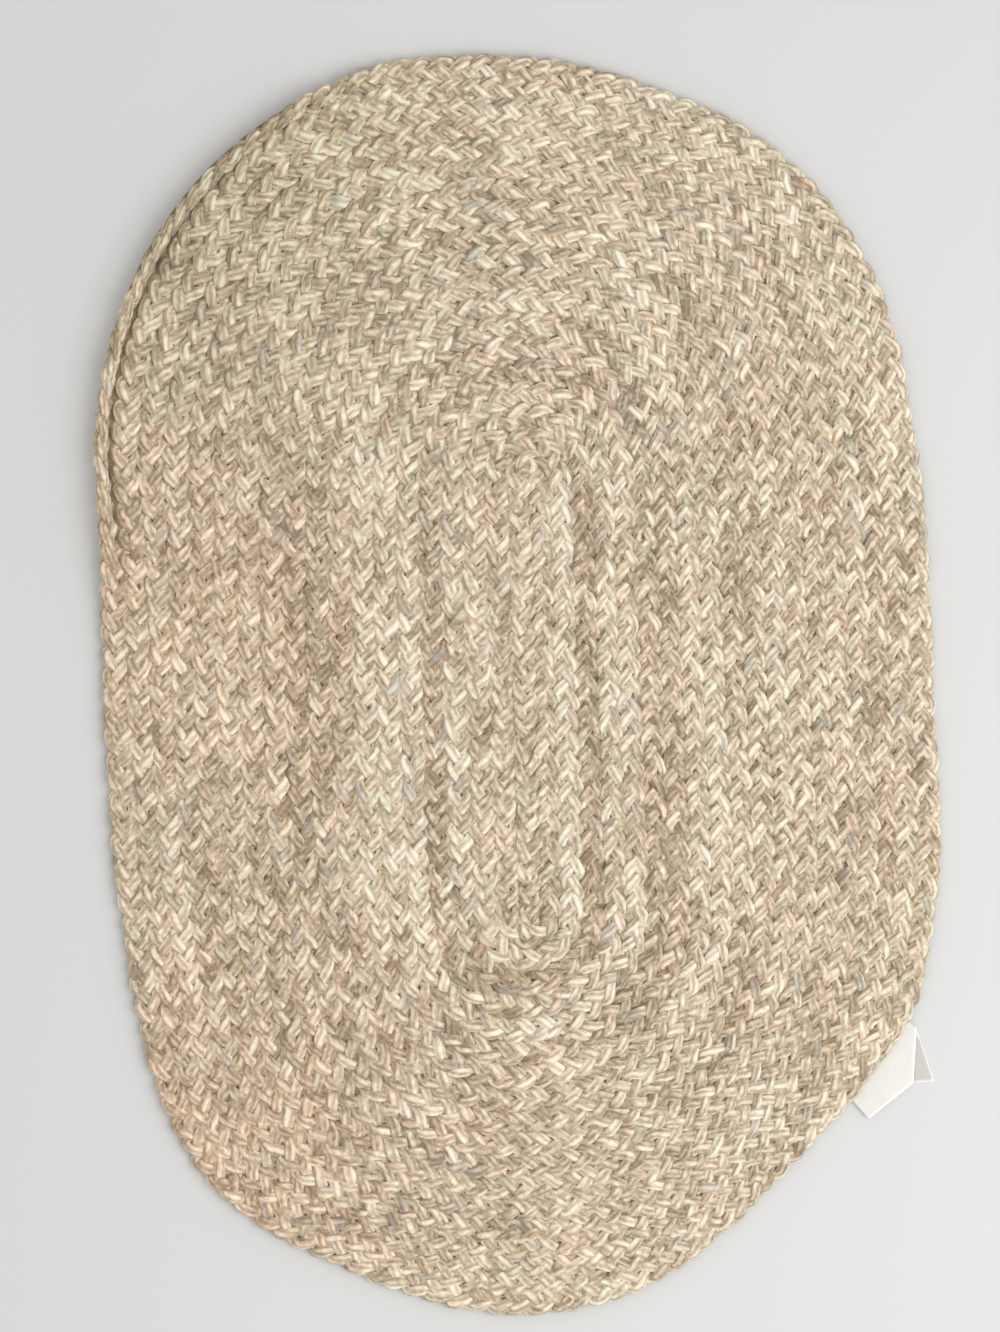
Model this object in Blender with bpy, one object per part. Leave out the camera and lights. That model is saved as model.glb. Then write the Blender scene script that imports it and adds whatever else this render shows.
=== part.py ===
"""Oval braided rug lying flat: one long plait, coiled clockwise round a straight spine and sewn edge to edge,
with a folded label under its rim where the plait ends. Metres, +Z up. The pieces are shaped round the middle of
the spine, then moved so that the origin is on the ground at the middle of the rug's outline. +Y runs along the
rug."""

import math

import bmesh
import bpy

# Driving dimensions, in metres
MM = 0.001
PLAIT_THICKNESS = 7.2 * MM
GROOVE_HEIGHT = 5.0 * MM
STRAIGHT_SIDE = 220 * MM
LABEL_LEAF = 1.0 * MM
LABEL_GAP = 0.4 * MM

# The coil. A lap runs up the left side, round the top, down the right side and round the bottom, and the plait
# moves out by half a lap on each side. The last lap ends soon after the right side.
LAPS = 19
SIDE_STEPS = 4
BEND_STEPS = 24
LAP_STEPS = 2 * (SIDE_STEPS + BEND_STEPS)
TAPER_STEPS = 3
LAST = LAPS * LAP_STEPS - BEND_STEPS + 1 + TAPER_STEPS
HALF_SIDE = STRAIGHT_SIDE / 2

# How uneven the rug is. A place round it counts 0 to 1 down the right side, 1 to 2 round the bottom, 2 to 3 up
# the left side and 3 to 4 round the top. A lap's width is the mean over all the laps there, and the bulge is
# how far the laps half-way out lie outside their even places.
LAP_WIDTH, BULGE = 1, 2
UNEVEN = (
    # place, lap's width in metres, bulge in laps
    (0.00, 10.26 * MM, 0.00),
    (0.20, 10.41 * MM, 0.00),
    (0.50, 10.48 * MM, 0.00),
    (0.80, 10.56 * MM, 0.12),
    (0.95, 10.45 * MM, 0.20),
    (1.05, 10.22 * MM, 0.35),
    (1.15, 10.05 * MM, 0.60),
    (1.20, 9.82 * MM, 0.75),
    (1.25, 9.72 * MM, 0.95),
    (1.30, 9.86 * MM, 0.98),
    (1.40, 10.46 * MM, 0.68),
    (1.50, 10.77 * MM, 0.62),
    (1.60, 10.72 * MM, 0.95),
    (1.66, 10.76 * MM, 0.92),
    (1.75, 11.23 * MM, 0.26),
    (1.80, 11.30 * MM, 0.04),
    (1.88, 11.08 * MM, -0.22),
    (1.95, 10.95 * MM, -0.26),
    (2.05, 11.15 * MM, -0.17),
    (2.20, 11.30 * MM, -0.10),
    (2.50, 11.40 * MM, -0.10),
    (2.80, 11.39 * MM, -0.10),
    (2.95, 11.43 * MM, -0.25),
    (3.10, 11.58 * MM, -0.35),
    (3.25, 11.60 * MM, -0.20),
    (3.38, 11.46 * MM, 0.00),
    (3.45, 11.09 * MM, 0.34),
    (3.60, 10.64 * MM, 0.56),
    (3.70, 10.68 * MM, 0.40),
    (3.80, 10.47 * MM, 0.30),
    (3.90, 10.22 * MM, 0.05),
    (3.96, 10.11 * MM, 0.02),
)
WHOLE_TURN = 4.0
BULGE_POWER = 1.5
BULGE_SCALE = 5.4

# How far the outermost plait is rolled on to its inner edge, from 0 to 1: only at the upper left.
TURNED = 1
TURNED_UP = (
    # place, share
    (0.00, 0.0),
    (2.00, 0.0),
    (2.62, 0.0),
    (2.80, 0.5),
    (2.95, 0.8),
    (3.10, 1.0),
    (3.20, 0.7),
    (3.30, 0.2),
    (3.38, 0.0),
)

# The plait's section where it is the outermost: each corner's place out from the plait's middle, in laps,
# and its height in metres, first as it lies flat and then where it is on edge.
FLANK_OUT = 0.22
SECTION = {
    # corner: (out, up, out on edge, up on edge)
    "groove": (-0.50, GROOVE_HEIGHT, -0.34, 2.6 * MM),
    "inner_flank": (-FLANK_OUT, PLAIT_THICKNESS, -0.06, 9.6 * MM),
    "outer_flank": (FLANK_OUT, PLAIT_THICKNESS, 0.24, 9.6 * MM),
    "shoulder": (0.42, 5.6 * MM, 0.42, 8.2 * MM),
    "widest": (0.50, 3.4 * MM, 0.50, 5.2 * MM),
    "foot": (0.36, 0.0, 0.36, 0.0),
}

# The label: its first and last place round the rim, its corners past the rim, and the seam that joins its
# two leaves under the rim.
LABEL_PLACES = (1.083, 1.165)
LABEL_CORNERS = {
    # corner: (across, along) from the rug's middle
    "outer": (168.8 * MM, -211.8 * MM),
    "far_crease": (191.0 * MM, -194.1 * MM),
    "tip": (201.4 * MM, -193.5 * MM),
    "near_crease": (192.7 * MM, -166.7 * MM),
}
LABEL_TUCK = 0.1 * MM
SEAM_PLACES = (1.090, 1.159)
SEAM_INSET = 0.2 * MM
SEAM_WIDTH = 1.2 * MM
WELD = 0.001 * MM

YARN = {"color": (0.60, 0.50, 0.37, 1.0), "roughness": 0.9}
LABEL_CLOTH = {"color": (0.86, 0.86, 0.84, 1.0), "roughness": 0.6}


def smooth_value(table, column, place):
    """A column's value at a place between the table's rows, on a smooth closed curve."""
    before = [(row[0] - WHOLE_TURN, row[column]) for row in table[-2:]]
    after = [(row[0] + WHOLE_TURN, row[column]) for row in table[:2]]
    rows = [*before, *((row[0], row[column]) for row in table), *after]
    right = next(i for i, row in enumerate(rows) if row[0] > place % WHOLE_TURN)
    (x0, y0), (x1, y1), (x2, y2), (x3, y3) = rows[right - 2 : right + 2]
    span = x2 - x1
    rise = y2 - y1
    slope_1 = (y2 - y0) / (x2 - x0) * span
    slope_2 = (y3 - y1) / (x3 - x1) * span
    t = (place % WHOLE_TURN - x1) / span
    bend = 3 * rise - 2 * slope_1 - slope_2
    twist = slope_1 + slope_2 - 2 * rise
    return y1 + t * (slope_1 + t * (bend + t * twist))


def coil_place(step):
    """Where a step of the plait lies round the rug, and how many laps its middle lies out from the spine."""
    lap, left = divmod(step, LAP_STEPS)
    if left <= SIDE_STEPS:
        return 2 + left / SIDE_STEPS, lap + left / SIDE_STEPS / 2
    left -= SIDE_STEPS
    if left <= BEND_STEPS:
        return 3 + left / BEND_STEPS, lap + 0.5
    left -= BEND_STEPS
    if left <= SIDE_STEPS:
        return 4 + left / SIDE_STEPS, lap + 0.5 + left / SIDE_STEPS / 2
    return 5 + (left - SIDE_STEPS) / BEND_STEPS, lap + 1


def rug_point(place, laps_out):
    """The point so many laps out from the rug's spine, a straight line up its middle, at a place round it."""
    if laps_out < 0:
        place = 3 - place
        laps_out = -laps_out
    place %= WHOLE_TURN
    share = laps_out / LAPS
    bulge = smooth_value(UNEVEN, BULGE, place) * BULGE_SCALE * share**BULGE_POWER * (1 - share)
    reach = (laps_out + bulge) * smooth_value(UNEVEN, LAP_WIDTH, place)
    if place < 1:
        return reach, HALF_SIDE - STRAIGHT_SIDE * place
    if place < 2:
        angle = math.pi * (1 - place)
        return reach * math.cos(angle), reach * math.sin(angle) - HALF_SIDE
    if place < 3:
        return -reach, STRAIGHT_SIDE * (place - 2) - HALF_SIDE
    angle = math.pi * (4 - place)
    return reach * math.cos(angle), reach * math.sin(angle) + HALF_SIDE


def full_section(step):
    """The plait's corners at a step, from the groove inside it to its foot."""
    place, laps_out = coil_place(step)
    turned = smooth_value(TURNED_UP, TURNED, place) if step > LAST - LAP_STEPS else 0.0
    corners = []
    for out, up, turned_out, turned_up in SECTION.values():
        x, y = rug_point(place, laps_out + out + turned * (turned_out - out))
        corners.append((x, y, up + turned * (turned_up - up)))
    return corners


def section(step):
    """As full_section, but the plait's end thins down to the rim of the lap inside it."""
    full = full_section(step)
    thickness = (LAST - step) / TAPER_STEPS
    if thickness >= 1:
        return full
    shoulder, widest, foot = full_section(step - LAP_STEPS)[3:]
    gone = (shoulder, shoulder, shoulder, shoulder, widest, foot)
    return [tuple(a + thickness * (b - a) for a, b in zip(*pair)) for pair in zip(gone, full)]


def middle_of(points):
    """The middle of the box round these points, seen from above."""
    xs = [point[0] for point in points]
    ys = [point[1] for point in points]
    return (min(xs) + max(xs)) / 2, (min(ys) + max(ys)) / 2


def new_piece(name, bm, look, middle, collection):
    """A new object from the mesh, moved into place, with its faces outwards and its own material."""
    bmesh.ops.translate(bm, verts=bm.verts, vec=(-middle[0], -middle[1], 0))
    bmesh.ops.recalc_face_normals(bm, faces=bm.faces)
    mesh = bpy.data.meshes.new(name)
    bm.to_mesh(mesh)
    bm.free()
    material = bpy.data.materials.new(name)
    material.use_nodes = True
    shader = material.node_tree.nodes["Principled BSDF"]
    shader.inputs["Base Color"].default_value = look["color"]
    shader.inputs["Roughness"].default_value = look["roughness"]
    mesh.materials.append(material)
    piece = bpy.data.objects.new(name, mesh)
    collection.objects.link(piece)
    return piece


def add_strip(bm, line_a, line_b):
    """A band of faces between two lines of as many points each. Points that meet are welded later."""
    a = [bm.verts.new(point) for point in line_a]
    b = [bm.verts.new(point) for point in line_b]
    for i in range(len(a) - 1):
        bm.faces.new((a[i], a[i + 1], b[i + 1], b[i]))


def make_rug_body(sections, middle, collection):
    """The coiled plait: its ridges on top, its rounded rim, and the flat side that it lies on."""
    bm = bmesh.new()
    groove, inner_flank, outer_flank, shoulder, widest, foot = (list(line) for line in zip(*sections))
    add_strip(bm, groove, inner_flank)
    add_strip(bm, inner_flank, outer_flank)
    add_strip(bm, outer_flank[: LAST - LAP_STEPS + 1], groove[LAP_STEPS:])

    # The plait's first end is rounded, and the first bend at the bottom lies round it.
    first_bend = range(LAP_STEPS - BEND_STEPS, LAP_STEPS + 1)
    first_end = [(*rug_point(coil_place(step)[0], FLANK_OUT), PLAIT_THICKNESS) for step in first_bend]
    add_strip(bm, first_end, [groove[step] for step in first_bend])

    rim = slice(LAST - LAP_STEPS, LAST + 1)
    add_strip(bm, outer_flank[rim], shoulder[rim])
    add_strip(bm, shoulder[rim], widest[rim])
    add_strip(bm, widest[rim], foot[rim])
    bmesh.ops.remove_doubles(bm, verts=bm.verts, dist=WELD)
    bmesh.ops.edgeloop_fill(bm, edges=[edge for edge in bm.edges if edge.is_boundary])
    return new_piece("rug_body", bm, YARN, middle, collection)


def label_edge(rim, places, out):
    """The rim's line between two places, moved out by a distance."""
    line = [corner for corner in rim if places[0] < corner[0] < places[1]]
    for place in places:
        right = next(i for i, corner in enumerate(rim) if corner[0] > place)
        before, after = rim[right - 1 : right + 1]
        share = (place - before[0]) / (after[0] - before[0])
        line.append(tuple(a + share * (b - a) for a, b in zip(before, after)))
    moved = []
    for place, x, y in sorted(line):
        angle = (1 - place) * math.pi
        moved.append((x + out * math.cos(angle), y + out * math.sin(angle)))
    return moved


def make_plate(name, outline, low, high, middle, collection):
    """A flat plate of the given outline between two heights."""
    bm = bmesh.new()
    face = bm.faces.new([bm.verts.new((x, y, low)) for x, y in outline])
    made = bmesh.ops.extrude_face_region(bm, geom=[face])["geom"]
    raised = [item for item in made if isinstance(item, bmesh.types.BMVert)]
    bmesh.ops.translate(bm, verts=raised, vec=(0, 0, high - low))
    return new_piece(name, bm, LABEL_CLOTH, middle, collection)


def make_side_label(rim, middle, collection, helpers):
    """A strip of white cloth folded in two: the leaves join under the rim, and the lower one's tip shows."""
    edge = label_edge(rim, LABEL_PLACES, -LABEL_TUCK)
    seam = label_edge(rim, SEAM_PLACES, SEAM_INSET)
    seam += reversed(label_edge(rim, SEAM_PLACES, SEAM_INSET + SEAM_WIDTH))
    lower = edge + list(LABEL_CORNERS.values())
    upper = edge + [corner for name, corner in LABEL_CORNERS.items() if name != "tip"]
    upper_low = LABEL_LEAF + LABEL_GAP
    label = make_plate("side_label", upper, upper_low, upper_low + LABEL_LEAF, middle, collection)
    lower_leaf = make_plate("lower_leaf", lower, 0, LABEL_LEAF, middle, helpers)
    fold = make_plate("label_fold", seam, LABEL_LEAF / 2, upper_low + LABEL_LEAF / 2, middle, helpers)
    for helper in (fold, lower_leaf):
        helper.hide_render = True
        helper.display_type = "WIRE"
        joined = label.modifiers.new(helper.name, "BOOLEAN")
        joined.operation = "UNION"
        joined.object = helper
    return label


def new_collection(name):
    collection = bpy.data.collections.new(name)
    bpy.context.scene.collection.children.link(collection)
    return collection


def main():
    for thing in list(bpy.data.objects):
        bpy.data.objects.remove(thing)
    sections = [section(step) for step in range(LAST + 1)]
    rim = []
    for step in range(LAST - LAP_STEPS + 1, LAST + 1):
        x, y, _ = sections[step][4]
        rim.append((coil_place(step)[0] % WHOLE_TURN, x, y))
    rim.sort()
    middle = middle_of([corner[1:] for corner in rim])
    rug = new_collection("braided_rug")
    make_rug_body(sections, middle, rug)
    make_side_label(rim, middle, rug, new_collection("label_helpers"))


main()
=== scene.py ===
"""Looks of the oval braided rug: one plait of three strands of heather yarn, coiled clockwise round a
straight middle pass and sewn edge to edge, with a blank folded label under its rim. Metres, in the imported
part's own frame."""

import math

import bmesh
import bpy
import numpy as np
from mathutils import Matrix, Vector


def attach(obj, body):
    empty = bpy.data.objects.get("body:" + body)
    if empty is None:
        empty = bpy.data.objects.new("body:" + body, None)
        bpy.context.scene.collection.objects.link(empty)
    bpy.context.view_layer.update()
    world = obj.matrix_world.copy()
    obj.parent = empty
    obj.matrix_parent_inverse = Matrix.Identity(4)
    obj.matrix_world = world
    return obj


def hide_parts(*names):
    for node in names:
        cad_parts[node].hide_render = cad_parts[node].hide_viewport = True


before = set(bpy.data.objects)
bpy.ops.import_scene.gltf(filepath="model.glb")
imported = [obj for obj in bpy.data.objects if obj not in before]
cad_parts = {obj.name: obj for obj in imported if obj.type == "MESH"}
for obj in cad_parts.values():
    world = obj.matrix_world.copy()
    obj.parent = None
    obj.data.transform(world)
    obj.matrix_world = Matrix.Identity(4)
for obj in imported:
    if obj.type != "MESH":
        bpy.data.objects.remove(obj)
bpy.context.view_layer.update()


# The coil that the plait follows. One plait is wound clockwise: up the left side, round the top, down the
# right side and round the bottom, half a lap further out on each side. It was wound by hand, so its laps
# are wider in some places than in others.
mm = 0.001
LAPS = 19
STRAIGHT_SIDE = 220 * mm

# A place round the rug counts 0 to 1 down the right side, 1 to 2 round the bottom, 2 to 3 up the left side
# and 3 to 4 round the top. A turn counts like a place, but goes on from lap to lap.
WHOLE_TURN = 4.0
START_TURN = 2
END_PLACE = 1.17
end_turn = WHOLE_TURN * LAPS + END_PLACE

# The bulge is how many laps the coil lies outside its even place. It is greatest 0.6 of the way out, where
# the scale brings it to the table's own value, and fades to nothing at the middle and at the rim.
UNEVEN = (
    # place, width of a lap, bulge in laps
    (0.00, 10.26 * mm, 0.00),
    (0.20, 10.41 * mm, 0.00),
    (0.50, 10.48 * mm, 0.00),
    (0.80, 10.56 * mm, 0.12),
    (0.95, 10.45 * mm, 0.20),
    (1.05, 10.22 * mm, 0.35),
    (1.15, 10.05 * mm, 0.60),
    (1.20, 9.82 * mm, 0.75),
    (1.25, 9.72 * mm, 0.95),
    (1.30, 9.86 * mm, 0.98),
    (1.40, 10.46 * mm, 0.68),
    (1.50, 10.77 * mm, 0.62),
    (1.60, 10.72 * mm, 0.95),
    (1.66, 10.76 * mm, 0.92),
    (1.75, 11.23 * mm, 0.26),
    (1.80, 11.30 * mm, 0.04),
    (1.88, 11.08 * mm, -0.22),
    (1.95, 10.95 * mm, -0.26),
    (2.05, 11.15 * mm, -0.17),
    (2.20, 11.30 * mm, -0.10),
    (2.50, 11.40 * mm, -0.10),
    (2.80, 11.39 * mm, -0.10),
    (2.95, 11.43 * mm, -0.25),
    (3.10, 11.58 * mm, -0.35),
    (3.25, 11.60 * mm, -0.20),
    (3.38, 11.46 * mm, 0.00),
    (3.45, 11.09 * mm, 0.34),
    (3.60, 10.64 * mm, 0.56),
    (3.70, 10.68 * mm, 0.40),
    (3.80, 10.47 * mm, 0.30),
    (3.90, 10.22 * mm, 0.05),
    (3.96, 10.11 * mm, 0.02),
)
PLACE, LAP_WIDTH, BULGE = 0, 1, 2
BULGE_POWER = 1.5
BULGE_SCALE = 5.4

# The strands stand out past the plait's even edge, so the outermost laps lie in a little. At the upper left
# the last lap is rolled on to its inner edge.
EDGE = (
    # place, laps that the edge lies out, share rolled, laps more that the rolled plait lies out
    (0.00, -0.17, 0.0, 0.00),
    (0.30, -0.17, 0.0, 0.00),
    (0.65, -0.20, 0.0, 0.00),
    (1.05, -0.20, 0.0, 0.00),
    (1.20, -0.42, 0.0, 0.00),
    (1.32, -0.52, 0.0, 0.00),
    (1.45, -0.38, 0.0, 0.00),
    (1.62, -0.60, 0.0, 0.00),
    (1.72, -0.41, 0.0, 0.00),
    (1.82, -0.26, 0.0, 0.00),
    (2.00, -0.22, 0.0, 0.00),
    (2.20, -0.28, 0.0, 0.00),
    (2.62, -0.26, 0.0, 0.00),
    (2.80, -0.12, 0.5, -0.08),
    (2.92, 0.06, 0.9, -0.03),
    (3.10, 0.25, 1.0, -0.14),
    (3.22, 0.35, 1.0, -0.24),
    (3.31, 0.22, 0.7, -0.32),
    (3.40, -0.20, 0.0, -0.06),
    (3.46, -0.28, 0.0, 0.00),
    (3.60, -0.34, 0.0, 0.00),
    (3.80, -0.18, 0.0, 0.00),
)
EDGE_OUT, SHARE_ROLLED, ROLLED_OUT = 1, 2, 3
LAPS_MOVED = 5


def smooth_value(table, column, place):
    """A column's value at places between the table's rows, on a smooth closed curve."""
    rows = np.array([*table[-2:], *table, *table[:2]], dtype=float)
    rows[:2, PLACE] -= WHOLE_TURN
    rows[-2:, PLACE] += WHOLE_TURN
    x, y = rows[:, PLACE], rows[:, column]
    place = np.asarray(place, dtype=float) % WHOLE_TURN
    right = np.searchsorted(x, place, side="right")
    x0, x1, x2, x3 = (x[right + k] for k in (-2, -1, 0, 1))
    y0, y1, y2, y3 = (y[right + k] for k in (-2, -1, 0, 1))
    span = x2 - x1
    rise = y2 - y1
    slope_1 = (y2 - y0) / (x2 - x0) * span
    slope_2 = (y3 - y1) / (x3 - x1) * span
    t = (place - x1) / span
    return y1 + t * (slope_1 + t * (3 * rise - 2 * slope_1 - slope_2 + t * (slope_1 + slope_2 - 2 * rise)))


def laps_at(turn):
    """How many laps out the plait's middle lies at a turn. It starts at the bottom of the left side, and it
    moves out half a lap on each straight side."""
    lap, since_start = np.divmod(turn - START_TURN, WHOLE_TURN)
    up_left = np.clip(since_start, 0, 1) / 2
    down_right = np.clip(since_start - 2, 0, 1) / 2
    return lap + up_left + down_right


def rug_point(place, laps_out):
    """The points so many laps out from the middle pass at places round it, measured from its midpoint."""
    place = np.asarray(place, dtype=float) % WHOLE_TURN
    laps_out = np.asarray(laps_out, dtype=float)
    share = np.clip(laps_out / LAPS, 0, 1)
    bulge = smooth_value(UNEVEN, BULGE, place) * BULGE_SCALE * share**BULGE_POWER * (1 - share)
    reach = (laps_out + bulge) * smooth_value(UNEVEN, LAP_WIDTH, place)
    half = STRAIGHT_SIDE / 2
    at_bottom = place < 2
    sides = [place < 1, at_bottom, place < 3]
    angle = np.where(at_bottom, math.pi * (1 - place), math.pi * (4 - place))
    bend_x = reach * np.cos(angle)
    bend_y = np.where(at_bottom, -half, half) + reach * np.sin(angle)
    down_y = half - STRAIGHT_SIDE * place
    up_y = STRAIGHT_SIDE * (place - 2) - half
    x = np.select(sides, [reach, bend_x, -reach], bend_x)
    y = np.select(sides, [down_y, bend_y, up_y], bend_y)
    return x, y


def moved_out(turn):
    """How many laps the coil lies out at a turn beyond its even place."""
    laps_inside = (end_turn - turn) / WHOLE_TURN
    return smooth_value(EDGE, EDGE_OUT, turn) * np.clip(1 - laps_inside / LAPS_MOVED, 0, 1)


# The plait's middle line, with a point for every section of its strands. It is placed so that its outer
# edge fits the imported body. It starts rounded in the coil's middle, and its end thins down and runs in to
# the rim beside the label, where it is sewn down.
PLAIT_PERIOD = 31 * mm
SECTIONS_A_PERIOD = 20
PLAIT_THICKNESS = 7.2 * mm
MEAN_LAP_WIDTH = 10.7 * mm
START_LENGTH = 5 * mm
START_THIN = 0.4
TAPER_LENGTH = 58 * mm
TAPER_THIN = 0.2
ON_EDGE_ANGLE = math.radians(88)
ON_EDGE_RISE = 2 * mm
PATH_STEPS = 60000

fine_turns = np.linspace(START_TURN, end_turn, PATH_STEPS)
fine_x, fine_y = rug_point(fine_turns, laps_at(fine_turns))
fine_length = START_LENGTH + np.concatenate([[0], np.cumsum(np.hypot(np.diff(fine_x), np.diff(fine_y)))])
plait_length = fine_length[-1]
section_count = round(plait_length / PLAIT_PERIOD * SECTIONS_A_PERIOD)
along = np.linspace(0, plait_length, section_count)
turn = np.interp(along, fine_length, fine_turns)
last_lap = turn > end_turn - WHOLE_TURN
on_edge = np.clip(smooth_value(EDGE, SHARE_ROLLED, turn), 0, 1) * last_lap
rolled_out = smooth_value(EDGE, ROLLED_OUT, turn) * last_lap
thin = np.clip((plait_length - along) / TAPER_LENGTH, 0, 1)
laps_out = laps_at(turn) + moved_out(turn) + rolled_out - (1 - thin) / 2
x, y = rug_point(turn, laps_out)
y -= np.clip(START_LENGTH - along, 0, None)

rim_x, rim_y = rug_point(turn[last_lap], laps_at(turn[last_lap]) + thin[last_lap] / 2)
shift_x = (rim_x.min() + rim_x.max()) / 2
shift_y = (rim_y.min() + rim_y.max()) / 2
x -= shift_x
y -= shift_y
thin = np.maximum(thin, TAPER_THIN) * np.clip(START_THIN + along / START_LENGTH, 0, 1)
wide = smooth_value(UNEVEN, LAP_WIDTH, turn) / MEAN_LAP_WIDTH

# The directions across the plait and up out of it, both turned with it where it is rolled on to its edge.
direction = np.gradient(np.stack([x, y], axis=1), axis=0)
direction /= np.linalg.norm(direction, axis=1)[:, None]
outward = np.stack([-direction[:, 1], direction[:, 0], 0 * x], axis=1)
upward = np.array([0, 0, 1])
roll = (on_edge * ON_EDGE_ANGLE)[:, None]
side = outward * np.cos(roll) + upward * np.sin(roll)
top = upward * np.cos(roll) - outward * np.sin(roll)
path = np.stack([x, y, PLAIT_THICKNESS / 2 + on_edge * ON_EDGE_RISE], axis=1)

# The yarn came from several lots of dye, so some lengths of the plait are paler than the rest and some
# darker. One lot gives way to the next within a few centimetres. The darker length where the last lap is
# rolled on to its edge is partly browner yarn and partly painted shade.
PALER = (
    # first turn, last turn, how much paler
    (8.0, 10.0, 1.1),
    (12.0, 13.9, -0.8),
    (14.2, 17.0, 0.5),
    (17.3, 19.9, -0.7),
    (20.3, 23.0, 0.9),
    (24.1, 25.8, -0.5),
    (26.0, 27.0, 0.8),
    (28.0, 29.3, -0.5),
    (30.0, 33.2, 0.5),
    (33.6, 34.9, -0.4),
    (36.0, 37.2, 0.6),
    (38.0, 39.0, -0.5),
    (42.0, 43.0, -0.7),
    (46.0, 47.0, -0.4),
    (48.0, 49.0, 0.3),
    (58.0, 59.1, -0.4),
    (63.5, 64.2, 0.4),
    (67.5, 67.9, 0.5),
    (68.0, 69.0, -0.5),
    (71.5, 72.2, 0.5),
    # The rolled stretch of the last lap: browner yarn, darkened further as painted shade.
    (74.8, 75.4, -0.5),
    (75.6, 76.2, 0.5),
)
LOT_CHANGE = 0.12
paler = np.zeros(section_count)
for first_turn, last_turn, amount in PALER:
    begun = np.clip((turn - first_turn) / LOT_CHANGE + 0.5, 0, 1)
    ended = np.clip((turn - last_turn) / LOT_CHANGE + 0.5, 0, 1)
    paler += amount * (begun - ended)


# Heather yarn, spun of short cream, tan, rose-beige and grey-olive fibres. Each strand is six yarns twisted
# together, so its tone changes from yarn to yarn and every few millimetres along it, with rare blue-grey or
# brown slubs.
YARNS = 6
YARN_TWIST = 80 * mm
STRAND_GIRTH = 13.5 * mm
YARN_DEPTH = 0.3 * mm
VALLEY_POWER = 1.5
# Painted shade: the colour multiplied in along the valleys between the twisted yarns.
VALLEY_PAINTED_SHADE = "#ddd7ce"
TONES = (
    # share, colour
    (0.00, "#988a74"),
    (0.25, "#b9ab95"),
    (0.50, "#d7c9b3"),
    (0.75, "#efe3ce"),
    (1.00, "#f9f2e4"),
)
MIDDLE_TONE = 0.5
ALL_ROUND = 1.0
MOTTLES = (
    # length along the yarn, width round the strand, how strong, finer detail, each yarn has its own
    (30 * mm, ALL_ROUND, 0.75, 0, False),
    (7 * mm, ALL_ROUND, 1.40, 1, True),
    (2 * mm, 1.3 * mm, 1.25, 1, False),
)
OLIVE_TINT = "#f9faf6"
ROSE_TINT = "#fff6f1"
HUE_LENGTH = 34 * mm
HUE_SPREAD = 2.8
MIDDLE_HUE = 0.5
PALER_TONE = 0.15
PALER_HUE = 0.35
SLUBS = (
    # length along the yarn, seed, share of the noise above which it shows, how strong, colour
    (18 * mm, 6.1, 0.71, 0.45, "#aaaaaa"),
    (22 * mm, 8.9, 0.67, 0.50, "#a58a72"),
)
SLUB_EDGE = 0.08
# Broad soft patches by place on the rug, multiplied into the yarn's colour. The darker, greener one at the
# upper left is painted shade; the other two, on the left side, are faintly pink.
SHADE_AND_TINT_PATCHES = (
    # across the rug, along it, radius, tint
    (-165 * mm, 260 * mm, 180 * mm, "#f2f7f1"),
    (-165 * mm, 35 * mm, 150 * mm, "#fffaf7"),
    (-150 * mm, -235 * mm, 170 * mm, "#fff8f5"),
)
# The real fibres are a few hundredths of a millimetre thick, too fine to show. They are drawn as the finest
# streaks that do show.
FIBRE_LENGTH = 1.5 * mm
FIBRE_WIDTH = 0.35 * mm
FIBRE_DEPTH = 0.5
STRAND_SEED = 17.3
YARN_SEED = 5.7
HUE_SEED = 3.3

# The sockets of a Mix node's colours, and of its mixed colour.
SHARE, UNDER, OVER, MIXED = 0, 6, 7, 2


def add(tree, kind, inputs=(), output=0, **settings):
    """A new node's output. Inputs are listed in order, None for one left as it is, or keyed by socket. Each
    is a value or another node's output."""
    node = tree.nodes.new(kind)
    for name, value in settings.items():
        setattr(node, name, value)
    for socket, value in inputs.items() if isinstance(inputs, dict) else enumerate(inputs):
        if isinstance(value, bpy.types.NodeSocket):
            tree.links.new(value, node.inputs[socket])
        elif value is not None:
            node.inputs[socket].default_value = value
    return node.outputs[output] if node.outputs else node


def linear(hex_colour):
    """An sRGB colour such as "#efe0c4" as the linear colour that the shaders take."""
    parts = [int(hex_colour[i : i + 2], 16) / 255 for i in (1, 3, 5)]
    return (*(c / 12.92 if c <= 0.04045 else ((c + 0.055) / 1.055) ** 2.4 for c in parts), 1.0)


# Spun fibres scatter the light, so to the eye the yarn is matte and soft, with a faint sheen and no gloss.
heather = bpy.data.materials.new("heather yarn")
heather.use_nodes = True
tree = heather.node_tree
shader = tree.nodes["Principled BSDF"]
shader.inputs["Roughness"].default_value = 0.9
shader.inputs["Specular IOR Level"].default_value = 0.1
shader.inputs["Sheen Weight"].default_value = 0.25
shader.inputs["Sheen Roughness"].default_value = 0.6

# Where a spot lies along its strand and round it, and which of the twisted yarns it is on.
yarn = add(tree, "ShaderNodeAttribute", output="Vector", attribute_name="yarn")
along_yarn, around_yarn, strand_number = add(tree, "ShaderNodeSeparateXYZ", [yarn]).node.outputs
twisted = add(tree, "ShaderNodeMath", [along_yarn, 1 / YARN_TWIST, around_yarn], operation="MULTIPLY_ADD")
around_strand = add(tree, "ShaderNodeMath", [twisted, STRAND_GIRTH], operation="MULTIPLY")
lane = add(tree, "ShaderNodeMath", [twisted, YARNS], operation="MULTIPLY")
whole_lane = add(tree, "ShaderNodeMath", [lane], operation="FLOOR")
lane_kind = add(tree, "ShaderNodeMath", [whole_lane, YARNS], operation="FLOORED_MODULO")
strand_kind = add(tree, "ShaderNodeMath", [strand_number, STRAND_SEED], operation="MULTIPLY")
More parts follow.
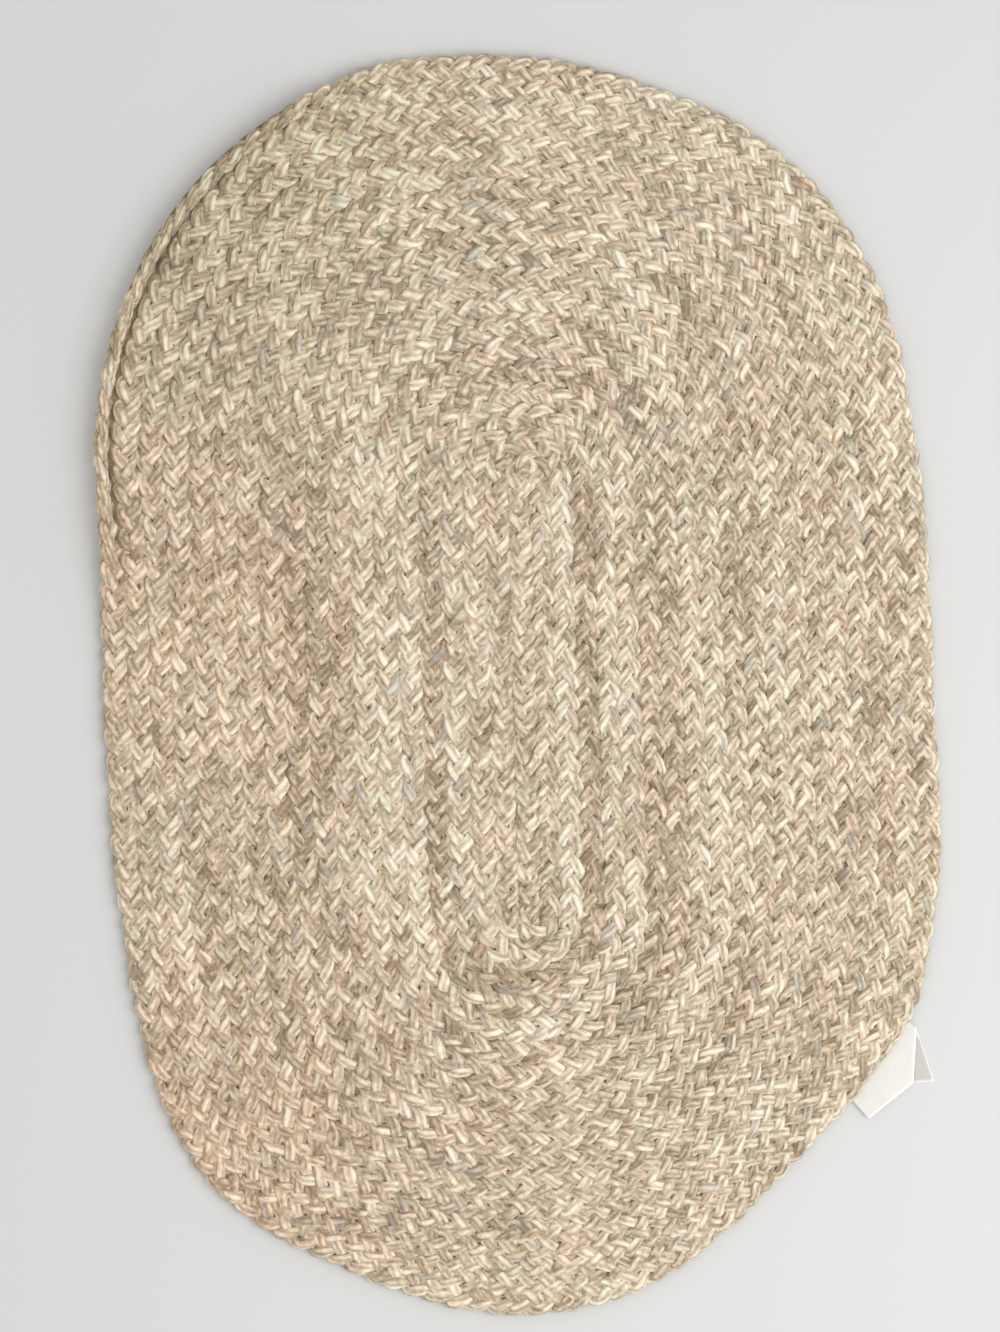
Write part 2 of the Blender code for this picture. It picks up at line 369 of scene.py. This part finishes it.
yarn_kind = add(tree, "ShaderNodeMath", [lane_kind, YARN_SEED, strand_kind], operation="MULTIPLY_ADD")
valley = add(tree, "ShaderNodeMath", [lane, 2 * math.pi], operation="MULTIPLY")
valley = add(tree, "ShaderNodeMath", [valley], operation="COSINE")
valley = add(tree, "ShaderNodeMath", [valley, 0.5, 0.5], operation="MULTIPLY_ADD")
valley = add(tree, "ShaderNodeMath", [valley, VALLEY_POWER], operation="POWER")


def mottle(length, width, kind, spread, detail=0, middle=0.0):
    """Noise about a middle, in patches of a length along the yarn and a width round it, of its own for each
    kind."""
    long = add(tree, "ShaderNodeMath", [along_yarn, 1 / length], operation="MULTIPLY")
    round_it = add(tree, "ShaderNodeMath", [around_strand, 1 / width], operation="MULTIPLY")
    where = add(tree, "ShaderNodeCombineXYZ", [long, round_it, kind])
    noise = add(tree, "ShaderNodeTexNoise", {"Vector": where, "Scale": 1, "Detail": detail})
    return add(tree, "ShaderNodeMath", [noise, spread, middle - spread / 2], operation="MULTIPLY_ADD")


# The fibres' mix of tones, and their drift between olive and rose.
paler_here = add(tree, "ShaderNodeAttribute", output="Fac", attribute_name="paler")
tone = add(tree, "ShaderNodeMath", [paler_here, PALER_TONE, MIDDLE_TONE], operation="MULTIPLY_ADD")
for length, width, spread, detail, by_yarn in MOTTLES:
    patches = mottle(length, width, yarn_kind if by_yarn else strand_kind, spread, detail)
    tone = add(tree, "ShaderNodeMath", [tone, patches], operation="ADD")
ramp = add(tree, "ShaderNodeValToRGB", [tone])
stops = ramp.node.color_ramp.elements
stops[0].position, stops[0].color = TONES[0][0], linear(TONES[0][1])
stops[1].position, stops[1].color = TONES[-1][0], linear(TONES[-1][1])
for share, tone_colour in TONES[1:-1]:
    stops.new(share).color = linear(tone_colour)
hue_kind = add(tree, "ShaderNodeMath", [strand_kind, HUE_SEED], operation="ADD")
hue = mottle(HUE_LENGTH, ALL_ROUND, hue_kind, HUE_SPREAD, detail=1, middle=MIDDLE_HUE)
hue = add(tree, "ShaderNodeMath", [paler_here, -PALER_HUE, hue], operation="MULTIPLY_ADD")
tints = {SHARE: hue, UNDER: linear(OLIVE_TINT), OVER: linear(ROSE_TINT)}
tint = add(tree, "ShaderNodeMix", tints, MIXED, data_type="RGBA")
tinted = {SHARE: 1.0, UNDER: ramp, OVER: tint}
colour = add(tree, "ShaderNodeMix", tinted, MIXED, data_type="RGBA", blend_type="MULTIPLY")

# Slubs, then broad soft patches on the rug, one of them painted shade, and painted shade in the valleys
# between the yarns.
for length, seed, above, strength, slub_colour in SLUBS:
    slub_kind = add(tree, "ShaderNodeMath", [yarn_kind, seed], operation="ADD")
    slub = mottle(length, ALL_ROUND, slub_kind, 1.0, middle=0.5)
    shows = add(tree, "ShaderNodeMapRange", [slub, above, above + SLUB_EDGE, 0.0, strength])
    slubbed = {SHARE: shows, UNDER: colour, OVER: linear(slub_colour)}
    colour = add(tree, "ShaderNodeMix", slubbed, MIXED, data_type="RGBA")
on_rug = add(tree, "ShaderNodeTexCoord", output="Object")
# The broad patches; the one at the upper left is painted shade.
for across_rug, along_rug, radius, patch_tint in SHADE_AND_TINT_PATCHES:
    patch_middle = (across_rug, along_rug, 0)
    apart = add(tree, "ShaderNodeVectorMath", [on_rug, patch_middle], "Value", operation="DISTANCE")
    in_patch = add(tree, "ShaderNodeMapRange", [apart, 0.0, radius, 1.0, 0.0], interpolation_type="SMOOTHSTEP")
    patched = {SHARE: in_patch, UNDER: colour, OVER: linear(patch_tint)}
    colour = add(tree, "ShaderNodeMix", patched, MIXED, data_type="RGBA", blend_type="MULTIPLY")
# Painted shade in the valleys between the yarns.
shaded = {SHARE: valley, UNDER: colour, OVER: linear(VALLEY_PAINTED_SHADE)}
colour = add(tree, "ShaderNodeMix", shaded, MIXED, data_type="RGBA", blend_type="MULTIPLY")
tree.links.new(colour, shader.inputs["Base Color"])
fibres = mottle(FIBRE_LENGTH, FIBRE_WIDTH, strand_kind, FIBRE_DEPTH, detail=2)
height = add(tree, "ShaderNodeMath", [fibres, valley], operation="SUBTRACT")
bump = add(tree, "ShaderNodeBump", {"Height": height, "Distance": YARN_DEPTH, "Strength": 1.0})
tree.links.new(bump, shader.inputs["Normal"])

# The plait itself: three strands, each a soft round yarn pressed oval, that swing from side to side and
# pass over one another. It lies on the floor, so its lowest turns are pressed flat.
STRANDS = 3
RING = 10
LEAD = math.radians(6)
LUMP_LENGTH = 3 * mm
UNDERSIDE = 0.25 * mm
PRESSED = 0.8 * mm
VARIES = {
    # what varies along a strand: length of a bump, how much, seed, middle
    "phase": (34 * mm, 0.36, 1.5, 0.0),
    "across": (9 * mm, 1.6 * mm, 4.1, 0.0),
    "up": (11 * mm, 1.0 * mm, 7.7, 0.0),
    "width": (10 * mm, 0.7, 2.9, 1.0),
    "thick": (12 * mm, 0.3, 5.3, 1.0),
}
NEXT_STRAND = 9.7

plait_tree = bpy.data.node_groups.new("flat three-strand plait", "GeometryNodeTree")
plait_tree.interface.new_socket("Geometry", in_out="INPUT", socket_type="NodeSocketGeometry")
for name, value in (
    ("Period", PLAIT_PERIOD),
    ("Swing", 4.15 * mm),
    ("Straightness", 0.3 * mm),
    ("Rise", 1.35 * mm),
    ("Strand Width", 6.2 * mm),
    ("Width Change", 0.5 * mm),
    ("Strand Thickness", 4.3 * mm),
    ("Thickness Change", -0.2 * mm),
    ("Lumps", 1.3 * mm),
    ("Unevenness", 1.0),
):
    plait_tree.interface.new_socket(name, in_out="INPUT", socket_type="NodeSocketFloat").default_value = value
plait_tree.interface.new_socket("Material", in_out="INPUT", socket_type="NodeSocketMaterial")
plait_tree.interface.new_socket("Geometry", in_out="OUTPUT", socket_type="NodeSocketGeometry")
tree = plait_tree
given = tree.nodes.new("NodeGroupInput").outputs
numbers = ("along", "wide", "thin", "strand", "phase", "width", "thick", "around")
directions = ("side", "top", "sideways", "upright", "centre")
kept = {name: add(tree, "GeometryNodeInputNamedAttribute", [name]) for name in numbers}
for name in directions:
    kept[name] = add(tree, "GeometryNodeInputNamedAttribute", [name], data_type="FLOAT_VECTOR")


def uneven(what):
    """Noise along each strand about a middle, as the table gives it."""
    length, spread, seed, middle = VARIES[what]
    long = add(tree, "ShaderNodeMath", [kept["along"], length], operation="DIVIDE")
    strand_seed = add(tree, "ShaderNodeMath", [kept["strand"], NEXT_STRAND, seed], operation="MULTIPLY_ADD")
    where = add(tree, "ShaderNodeCombineXYZ", [long, strand_seed])
    noise = add(tree, "ShaderNodeTexNoise", {"Vector": where, "Scale": 1, "Detail": 1})
    even = add(tree, "ShaderNodeMath", [noise, 0.5], operation="SUBTRACT")
    scaled = add(tree, "ShaderNodeMath", [even, spread], operation="MULTIPLY")
    return add(tree, "ShaderNodeMath", [scaled, given["Unevenness"], middle], operation="MULTIPLY_ADD")


# One copy of the path for each strand, with its place in the plait's round.
line = add(tree, "GeometryNodeMeshToCurve", [given["Geometry"]])
copies = add(tree, "GeometryNodeDuplicateElements", {"Geometry": line, "Amount": STRANDS}, domain="SPLINE")
store = {"data_type": "FLOAT", "domain": "POINT"}
store_vector = {"data_type": "FLOAT_VECTOR", "domain": "POINT"}
strand_index = copies.node.outputs["Duplicate Index"]
strands = add(tree, "GeometryNodeStoreNamedAttribute", [copies, None, "strand", strand_index], **store)
rounds = add(tree, "ShaderNodeMath", [kept["along"], given["Period"]], operation="DIVIDE")
rounds = add(tree, "ShaderNodeMath", [kept["strand"], 1 / STRANDS, rounds], operation="MULTIPLY_ADD")
rounds = add(tree, "ShaderNodeMath", [rounds, uneven("phase")], operation="ADD")
phase = add(tree, "ShaderNodeMath", [rounds, 2 * math.pi], operation="MULTIPLY")
strands = add(tree, "GeometryNodeStoreNamedAttribute", [strands, None, "phase", phase], **store)

# Each strand swings across once a period, and rises twice, to pass over each of the others.
swing = add(tree, "ShaderNodeMath", [kept["phase"]], operation="SINE")
swing = add(tree, "ShaderNodeMath", [swing, given["Swing"]], operation="MULTIPLY")
triple = add(tree, "ShaderNodeMath", [kept["phase"], 3], operation="MULTIPLY")
triple = add(tree, "ShaderNodeMath", [triple], operation="SINE")
triple = add(tree, "ShaderNodeMath", [triple, given["Straightness"]], operation="MULTIPLY")
across = add(tree, "ShaderNodeMath", [swing, triple], operation="SUBTRACT")
across = add(tree, "ShaderNodeMath", [across, kept["wide"], uneven("across")], operation="MULTIPLY_ADD")
across = add(tree, "ShaderNodeMath", [across, kept["thin"]], operation="MULTIPLY")
up = add(tree, "ShaderNodeMath", [kept["phase"], 2, 2 * LEAD], operation="MULTIPLY_ADD")
up = add(tree, "ShaderNodeMath", [up], operation="SINE")
up = add(tree, "ShaderNodeMath", [up, given["Rise"], uneven("up")], operation="MULTIPLY_ADD")
up = add(tree, "ShaderNodeMath", [up, kept["thin"]], operation="MULTIPLY")
across = add(tree, "ShaderNodeVectorMath", {"Vector": kept["side"], "Scale": across}, operation="SCALE")
up = add(tree, "ShaderNodeVectorMath", {"Vector": kept["top"], "Scale": up}, operation="SCALE")
offset = add(tree, "ShaderNodeVectorMath", [across, up], operation="ADD")
strands = add(tree, "GeometryNodeSetPosition", [strands, None, None, offset])

# Each strand is widest where it lies on top or underneath, and narrower where it turns at the plait's sides.
on_top = add(tree, "ShaderNodeMath", [kept["phase"], 4, 4 * LEAD - math.pi], operation="MULTIPLY_ADD")
on_top = add(tree, "ShaderNodeMath", [on_top], operation="COSINE")
for name, size, change in (
    ("width", "Strand Width", "Width Change"),
    ("thick", "Strand Thickness", "Thickness Change"),
):
    half = add(tree, "ShaderNodeMath", [on_top, given[change], given[size]], operation="MULTIPLY_ADD")
    for factor in (uneven(name), kept["wide"], kept["thin"], 0.5):
        half = add(tree, "ShaderNodeMath", [half, factor], operation="MULTIPLY")
    strands = add(tree, "GeometryNodeStoreNamedAttribute", [strands, None, name, half], **store)
tangent = add(tree, "GeometryNodeInputTangent")
leaning = add(tree, "ShaderNodeVectorMath", [kept["top"], tangent], "Value", operation="DOT_PRODUCT")
leaning = add(tree, "ShaderNodeVectorMath", {"Vector": tangent, "Scale": leaning}, operation="SCALE")
upright = add(tree, "ShaderNodeVectorMath", [kept["top"], leaning], operation="SUBTRACT")
upright = add(tree, "ShaderNodeVectorMath", [upright], operation="NORMALIZE")
sideways = add(tree, "ShaderNodeVectorMath", [tangent, upright], operation="CROSS_PRODUCT")
centre = add(tree, "GeometryNodeInputPosition")
for name, value in (("upright", upright), ("sideways", sideways), ("centre", centre)):
    strands = add(tree, "GeometryNodeStoreNamedAttribute", [strands, None, name, value], **store_vector)

# The skin: a ring round every point, as wide and as thick as the strand is there, and lumpy.
circle = add(tree, "GeometryNodeCurvePrimitiveCircle", {"Resolution": RING, "Radius": 1 * mm})
share_round = add(tree, "GeometryNodeInputIndex")
share_round = add(tree, "ShaderNodeMath", [share_round, RING], operation="DIVIDE")
circle = add(tree, "GeometryNodeStoreNamedAttribute", [circle, None, "around", share_round], **store)
skinned = {"Curve": strands, "Profile Curve": circle, "Fill Caps": True}
tubes = add(tree, "GeometryNodeCurveToMesh", skinned)
angle = add(tree, "ShaderNodeMath", [kept["around"], 2 * math.pi], operation="MULTIPLY")
skin = kept["centre"]
for turned, size, axis in (("COSINE", "width", "sideways"), ("SINE", "thick", "upright")):
    reach = add(tree, "ShaderNodeMath", [angle], operation=turned)
    reach = add(tree, "ShaderNodeMath", [reach, kept[size]], operation="MULTIPLY")
    reach = add(tree, "ShaderNodeVectorMath", {"Vector": kept[axis], "Scale": reach}, operation="SCALE")
    skin = add(tree, "ShaderNodeVectorMath", [skin, reach], operation="ADD")
tubes = add(tree, "GeometryNodeSetPosition", [tubes, None, skin])
lumps = add(tree, "ShaderNodeTexNoise", {"Scale": 1 / LUMP_LENGTH, "Detail": 1})
lumps = add(tree, "ShaderNodeMath", [lumps, 0.5], operation="SUBTRACT")
lumps = add(tree, "ShaderNodeMath", [lumps, given["Lumps"]], operation="MULTIPLY")
lumps = add(tree, "ShaderNodeMath", [lumps, kept["thin"]], operation="MULTIPLY")
surface = add(tree, "GeometryNodeInputNormal")
lumps = add(tree, "ShaderNodeVectorMath", {"Vector": surface, "Scale": lumps}, operation="SCALE")
tubes = add(tree, "GeometryNodeSetPosition", [tubes, None, None, lumps])
skin_x, skin_y, skin_z = add(tree, "ShaderNodeSeparateXYZ", [centre]).node.outputs
pressed = add(tree, "ShaderNodeMath", [skin_z, UNDERSIDE, PRESSED], operation="SMOOTH_MAX")
pressed = add(tree, "ShaderNodeCombineXYZ", [skin_x, skin_y, pressed])
tubes = add(tree, "GeometryNodeSetPosition", [tubes, None, pressed])
tubes = add(tree, "GeometryNodeSetShadeSmooth", [tubes])
real = add(tree, "GeometryNodeRealizeInstances", [tubes])
dressed = add(tree, "GeometryNodeSetMaterial", [real, None, given["Material"]])
add(tree, "NodeGroupOutput", [dressed])

# The real plait is one length. It is made in stretches, each a plain mesh that starts on the section where
# the one before it ends. A stretch keeps each corner's place along and round its strand, and a map that
# lays its strands out in rows, a little apart.
STRETCHES = 5
ROW_FILL = 0.92
ROW_END = 4 * mm
TO_KEEP = ("paler", "position", "sharp_face", "material_index")
scene = bpy.context.scene


def lay_out(mesh):
    """Gives the strands' skin its place along and round the yarn, and the map of rows."""
    loops, faces = len(mesh.loops), len(mesh.polygons)
    vertex = np.empty(loops, np.int32)
    mesh.loops.foreach_get("vertex_index", vertex)
    first = np.empty(faces, np.int32)
    mesh.polygons.foreach_get("loop_start", first)
    face = np.repeat(np.arange(faces), np.diff([*first, loops]))
    found = []
    for name in ("along", "around", "strand"):
        values = np.empty(len(mesh.vertices), np.float32)
        mesh.attributes[name].data.foreach_get("value", values)
        found.append(values[vertex])
    here, round_it, strand = found
    # A face that closes the ring reaches from its last point back to 0, which counts as 1 there.
    closes = (np.maximum.reduceat(round_it, first) > 0.5)[face] & (round_it == 0)
    round_it = round_it + closes
    stretch_length = np.ptp(here)
    total = STRANDS * stretch_length
    rows = round(math.sqrt(total / STRAND_GIRTH))
    row_length = total / rows
    on_line = strand * stretch_length + here - here.min()
    row = np.clip(np.floor(np.minimum.reduceat(on_line, first) / row_length), 0, rows - 1)[face]
    u = (on_line - row * row_length + ROW_END / 2) / (row_length + ROW_END)
    v = (row + (1 - ROW_FILL) / 2 + ROW_FILL * round_it) / rows
    flat = mesh.uv_layers.new(name="OFBake")
    flat.uv.foreach_set("vector", np.stack([u, v], axis=1).astype(np.float32).ravel())
    for name in [a.name for a in mesh.attributes if a.domain == "POINT" and a.name not in TO_KEEP]:
        mesh.attributes.remove(mesh.attributes[name])
    corners = np.stack([here, round_it, strand], axis=1).astype(np.float32)
    mesh.attributes.new("yarn", "FLOAT_VECTOR", "CORNER").data.foreach_set("vector", corners.ravel())


ends = np.linspace(0, section_count - 1, STRETCHES + 1).round().astype(int)
for number, (first, last) in enumerate(zip(ends[:-1], ends[1:]), start=1):
    stretch = slice(first, last + 1)
    mesh = bpy.data.meshes.new(f"plait_path_{number}")
    mesh.from_pydata(path[stretch], [(i, i + 1) for i in range(last - first)], [])
    for name, values in (("along", along), ("wide", wide), ("thin", thin), ("paler", paler)):
        layer = mesh.attributes.new(name, "FLOAT", "POINT")
        layer.data.foreach_set("value", values[stretch].astype(np.float32))
    for name, values in (("side", side), ("top", top)):
        layer = mesh.attributes.new(name, "FLOAT_VECTOR", "POINT")
        layer.data.foreach_set("vector", values[stretch].astype(np.float32).ravel())
    plait = bpy.data.objects.new(f"plait_{number}", mesh)
    scene.collection.objects.link(plait)
    modifier = plait.modifiers.new("plait", "NODES")
    modifier.node_group = plait_tree
    for item in plait_tree.interface.items_tree:
        if item.name == "Material":
            modifier[item.identifier] = heather
    evaluated = plait.evaluated_get(bpy.context.evaluated_depsgraph_get())
    plain = bpy.data.meshes.new_from_object(evaluated)
    plait.modifiers.clear()
    lay_out(plain)
    plait.data = plain
    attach(plait, "root")


# The inside of the coil, seen only between the strands: a thin flat sheet of painted shade under the plaits,
# which stands for the imported body, laid inside the rim. It is no piece of the real rug.
SHEET_LOW = 2.6 * mm
SHEET_HIGH = 3.6 * mm
SHEET_INSET = 0.35
SHEET_CLOSING = 0.3
SHEET_EDGE_POINTS = 400
SHADE_PATCH = 4 * mm
DEEP_SHADE = "#76654e"
PALE_SHADE = "#a8977c"

# Painted shade: the yarn as it looks down in the shaded gaps, matte, with no sheen, a darker tan in soft
# patches.
inside = bpy.data.materials.new("painted shade in the gaps")
inside.use_nodes = True
tree = inside.node_tree
shader = tree.nodes["Principled BSDF"]
shader.inputs["Roughness"].default_value = 0.95
on_rug = add(tree, "ShaderNodeTexCoord", output="Object")
patches = add(tree, "ShaderNodeTexNoise", {"Vector": on_rug, "Scale": 1 / SHADE_PATCH, "Detail": 2})
shades = {SHARE: patches, UNDER: linear(DEEP_SHADE), OVER: linear(PALE_SHADE)}
colour = add(tree, "ShaderNodeMix", shades, MIXED, data_type="RGBA")
tree.links.new(colour, shader.inputs["Base Color"])

# The last lap starts a whole lap further in than it ends, so the edge runs in again just before it closes.
edge_turns = np.linspace(end_turn - WHOLE_TURN, end_turn, SHEET_EDGE_POINTS)[:-1]
closing = np.interp(edge_turns, [end_turn - SHEET_CLOSING, end_turn], [0, 1])
edge_laps = laps_at(edge_turns) + moved_out(edge_turns) - closing + 0.5 - SHEET_INSET
edge_x, edge_y = rug_point(edge_turns, edge_laps)
bm = bmesh.new()
outline = zip(edge_x[::-1] - shift_x, edge_y[::-1] - shift_y)
face = bm.faces.new([bm.verts.new((px, py, SHEET_LOW)) for px, py in outline])
made = bmesh.ops.extrude_face_region(bm, geom=[face])["geom"]
raised = [item for item in made if isinstance(item, bmesh.types.BMVert)]
bmesh.ops.translate(bm, verts=raised, vec=(0, 0, SHEET_HIGH - SHEET_LOW))
bmesh.ops.recalc_face_normals(bm, faces=bm.faces)
bmesh.ops.triangulate(bm, faces=bm.faces)
sheet_area = sum(face.calc_area() for face in bm.faces) / 2
mesh = bpy.data.meshes.new("coil_inside")
bm.to_mesh(mesh)
bm.free()
mesh.materials.append(inside)
coil_inside = bpy.data.objects.new("coil_inside", mesh)
scene.collection.objects.link(coil_inside)
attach(coil_inside, "root")
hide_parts("rug_body")


# The label: a strip of thin white satin ribbon, folded in two and sewn by its fold under the rim where the
# plait ends. Its cut ends are turned under in narrow hems, its faces are blank, and the lower leaf's corner
# shows.
LABEL_CLOTH = 0.3 * mm
LABEL_TUCK = 5 * mm
LABEL_ROWS = 14
LABEL_COLUMNS = 30
RIM_FIRST = Vector((168.6 * mm, -206.4 * mm, 0))
RIM_LAST = Vector((195.2 * mm, -165.2 * mm, 0))
UPPER_EDGE = (
    # share of the way along the rim, across the rug, along it
    (0.00, 175.6 * mm, -215.9 * mm),
    (0.60, 197.8 * mm, -198.2 * mm),
    (1.00, 199.5 * mm, -170.8 * mm),
)
LOWER_EDGE = (
    # share of the way along the rim, across the rug, along it
    (0.00, 175.0 * mm, -214.6 * mm),
    (0.50, 197.2 * mm, -198.2 * mm),
    (0.70, 208.6 * mm, -197.6 * mm),
    (1.00, 199.3 * mm, -171.0 * mm),
)
SEAM_HEIGHT = 0.9 * mm
UPPER_HEIGHT = 2 * mm
LOWER_HEIGHT = 0.35 * mm
UPPER_WAVE = 0.35 * mm
LOWER_WAVE = 0.07 * mm
WAVE_TURN = 5.2
WAVE_START = 0.8
HEM = 1.1 * mm
FACE_TINTS = ("#d2d0c8", "#e0ded7")
FACE_PATCH = 5 * mm
# The lower leaf's painted shade, and how far it fades in from the fold.
LOWER_LEAF_SHADE = "#bdb8b1"
LOWER_LEAF_SHADE_EDGE = 0.5 * mm
HEM_COLOUR = "#f5f4f1"
# The real ribbon's threads are about 0.1 mm apart, too fine to show. Its ribs are drawn five times as coarse.
RIB = 0.5 * mm
RIB_DEPTH = 0.04 * mm

# White satin, woven with long smooth floats on its face. To the eye it is off-white with a soft even gloss
# and whiter at the doubled hems. The lower leaf shows the ribbon's duller back and lies under the upper leaf;
# its greyer colour is painted shade.
satin = bpy.data.materials.new("white satin ribbon")
satin.use_nodes = True
tree = satin.node_tree
shader = tree.nodes["Principled BSDF"]
shader.inputs["Roughness"].default_value = 0.42
shader.inputs["Sheen Weight"].default_value = 0.1
on_cloth = add(tree, "ShaderNodeUVMap", uv_map="cloth")
out_of_seam = add(tree, "ShaderNodeSeparateXYZ", [on_cloth], "Y")
ribs = add(tree, "ShaderNodeMath", [out_of_seam, 2 * math.pi / RIB], operation="MULTIPLY")
ribs = add(tree, "ShaderNodeMath", [ribs], operation="SINE")
patches = add(tree, "ShaderNodeTexNoise", {"Vector": on_cloth, "Scale": 1 / FACE_PATCH, "Detail": 2})
shades = {SHARE: patches, UNDER: linear(FACE_TINTS[0]), OVER: linear(FACE_TINTS[1])}
colour = add(tree, "ShaderNodeMix", shades, MIXED, data_type="RGBA")
# Painted shade on the lower leaf, which lies under the upper one.
in_lower_leaf_shade = add(tree, "ShaderNodeMapRange", [out_of_seam, -LOWER_LEAF_SHADE_EDGE, 0.0, 1.0, 0.0])
shades = {SHARE: in_lower_leaf_shade, UNDER: colour, OVER: linear(LOWER_LEAF_SHADE)}
colour = add(tree, "ShaderNodeMix", shades, MIXED, data_type="RGBA")
on_hem = add(tree, "ShaderNodeAttribute", output="Fac", attribute_name="hem")
shades = {SHARE: on_hem, UNDER: colour, OVER: linear(HEM_COLOUR)}
colour = add(tree, "ShaderNodeMix", shades, MIXED, data_type="RGBA")
tree.links.new(colour, shader.inputs["Base Color"])
weave = add(tree, "ShaderNodeBump", {"Height": ribs, "Distance": RIB_DEPTH, "Strength": 0.5})
tree.links.new(weave, shader.inputs["Normal"])

bm = bmesh.new()
cloth_map = bm.loops.layers.uv.new("cloth")
hem_layer = bm.verts.layers.float.new("hem")
seam_line = RIM_LAST - RIM_FIRST
inwards = seam_line.cross(Vector((0, 0, -1))).normalized()
grid, flat_at = [], {}
for row in range(-LABEL_ROWS, LABEL_ROWS + 1):
    edge, leaf_height, leaf_wave = UPPER_EDGE, UPPER_HEIGHT, UPPER_WAVE
    if row < 0:
        edge, leaf_height, leaf_wave = LOWER_EDGE, LOWER_HEIGHT, LOWER_WAVE
    shares, edge_across, edge_along = zip(*edge)
    out = abs(row) / LABEL_ROWS
    line = []
    for column in range(LABEL_COLUMNS + 1):
        run = column / LABEL_COLUMNS
        far = Vector((np.interp(run, shares, edge_across), np.interp(run, shares, edge_along), 0))
        seam = RIM_FIRST.lerp(RIM_LAST, run) + inwards * LABEL_TUCK
        spot = seam.lerp(far, out)
        rise = math.sin(out * math.pi / 2)
        wave = leaf_wave * math.sin(run * WAVE_TURN + WAVE_START) * out
        spot.z = SEAM_HEIGHT + (leaf_height - SEAM_HEIGHT) * rise + wave
        vertex = bm.verts.new(spot)
        reach = (far - seam).length
        vertex[hem_layer] = 1.0 if (1 - out) * reach < HEM or column == 0 else 0.0
        flat_at[vertex] = (run * seam_line.length, math.copysign(out * reach, row))
        line.append(vertex)
    grid.append(line)
for below, above in zip(grid[:-1], grid[1:]):
    for a, b, c, d in zip(below[:-1], below[1:], above[1:], above[:-1]):
        face = bm.faces.new((a, b, c, d))
        face.smooth = True
        for corner in face.loops:
            corner[cloth_map].uv = flat_at[corner.vert]
label_area = sum(face.calc_area() for face in bm.faces)
bmesh.ops.recalc_face_normals(bm, faces=bm.faces)
mesh = bpy.data.meshes.new("label")
bm.to_mesh(mesh)
bm.free()
mesh.materials.append(satin)
label = bpy.data.objects.new("label", mesh)
scene.collection.objects.link(label)
solidify = label.modifiers.new("cloth", "SOLIDIFY")
solidify.thickness = LABEL_CLOTH
solidify.offset = 0
evaluated = label.evaluated_get(bpy.context.evaluated_depsgraph_get())
plain = bpy.data.meshes.new_from_object(evaluated)
label.modifiers.clear()
label.data = plain
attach(label, "root")
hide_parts("side_label")


# The studio: a pale painted floor that the rug lies on, a soft bright room, and one broad lamp beyond the
# rug's lower right, as from a window there.
FLOOR_HALF = 3
FLOOR_COLOUR = "#cfcfcd"
ROOM_COLOUR = "#ffffff"
ROOM_STRENGTH = 0.82
LAMP_PLACE = (0.85, -0.35, 1.1)
LAMP_SIDE = 1.2
LAMP_POWER = 12

# Matte floor paint: to the eye an even pale grey, with soft shadows and no reflections.
floor = bpy.data.materials.new("pale floor paint")
floor.use_nodes = True
shader = floor.node_tree.nodes["Principled BSDF"]
shader.inputs["Base Color"].default_value = linear(FLOOR_COLOUR)
shader.inputs["Roughness"].default_value = 0.9
mesh = bpy.data.meshes.new("floor")
corners = [(FLOOR_HALF * a, FLOOR_HALF * b, 0) for a, b in ((-1, -1), (1, -1), (1, 1), (-1, 1))]
mesh.from_pydata(corners, [], [(0, 1, 2, 3)])
mesh.materials.append(floor)
ground = bpy.data.objects.new("floor", mesh)
scene.collection.objects.link(ground)

world = bpy.data.worlds.new("soft room")
world.use_nodes = True
world.node_tree.nodes["Background"].inputs["Color"].default_value = linear(ROOM_COLOUR)
world.node_tree.nodes["Background"].inputs["Strength"].default_value = ROOM_STRENGTH
scene.world = world
lamp = bpy.data.lights.new("window", "AREA")
lamp.shape = "RECTANGLE"
lamp.size = LAMP_SIDE
lamp.size_y = LAMP_SIDE
lamp.energy = LAMP_POWER
lamp_object = bpy.data.objects.new("window", lamp)
lamp_object.location = LAMP_PLACE
lamp_object.rotation_euler = (-lamp_object.location).to_track_quat("-Z", "Y").to_euler()
scene.collection.objects.link(lamp_object)

# The camera looks straight down, and takes in what a picture of 1000 by 1332 pixels shows at 0.497 mm a
# pixel. The picture's middle lies a little to the left of the rug's, and further up.
PIXEL = 0.497 * mm
PICTURE_LONG_SIDE = 1332
PICTURE_MIDDLE = (-8.1 * mm, 9.6 * mm)
CAMERA_HEIGHT = 1.5
RUG_TOP = 5 * mm
SENSOR_WIDTH = 36
camera_data = bpy.data.cameras.new("camera")
camera_data.sensor_width = SENSOR_WIDTH
camera_data.lens = SENSOR_WIDTH * (CAMERA_HEIGHT - RUG_TOP) / (PICTURE_LONG_SIDE * PIXEL)
camera = bpy.data.objects.new("camera", camera_data)
camera.location = (*PICTURE_MIDDLE, CAMERA_HEIGHT)
scene.collection.objects.link(camera)
scene.camera = camera
scene.view_settings.view_transform = "Standard"
